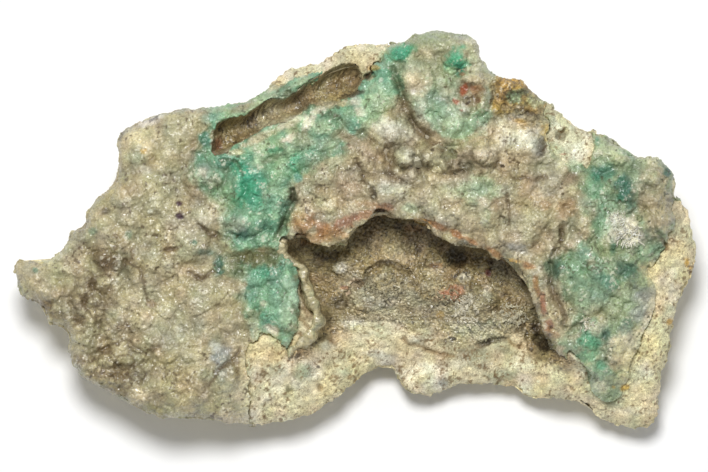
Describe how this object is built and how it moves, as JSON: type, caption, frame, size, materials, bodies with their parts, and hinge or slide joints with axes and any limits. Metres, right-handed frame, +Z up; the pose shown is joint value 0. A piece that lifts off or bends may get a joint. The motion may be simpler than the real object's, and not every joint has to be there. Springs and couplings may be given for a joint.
{
  "type": "aurichalcite specimen",
  "caption": "Slab-like mineral specimen: knobbly grey and green crusts on pale host rock, with a druse-lined hollow under an overhanging lip and a flat base.",
  "frame": {"origin": "centre of the bounding box at the level of the base that the specimen rests on", "axes": "+X along the specimen's length, +Y towards its higher back edge, +Z up; the crusted face looks up and leans 12 degrees towards -Y"},
  "size_m": [0.136, 0.077, 0.0407],
  "materials": {
    "chalky_host_rock": "rough, matt and chalky",
    "grey_crust": "fine druse on knobs, softly glittering",
    "aurichalcite": "silky to finely drusy",
    "limonite": "earthy and matt",
    "brown_druse": "glittering fine crystals"
  },
  "bodies": {
    "root": {"host_rock": "chalky_host_rock", "left_crust": "grey_crust", "hood_crust": "grey_crust", "crown_crust": "grey_crust", "curled_shell": "grey_crust", "aurichalcite_band": "aurichalcite", "aurichalcite_flank": "aurichalcite", "limonite_knobs": "limonite", "vug_druse": "brown_druse", "trough_druse": "brown_druse"}
  },
  "joints": []
}
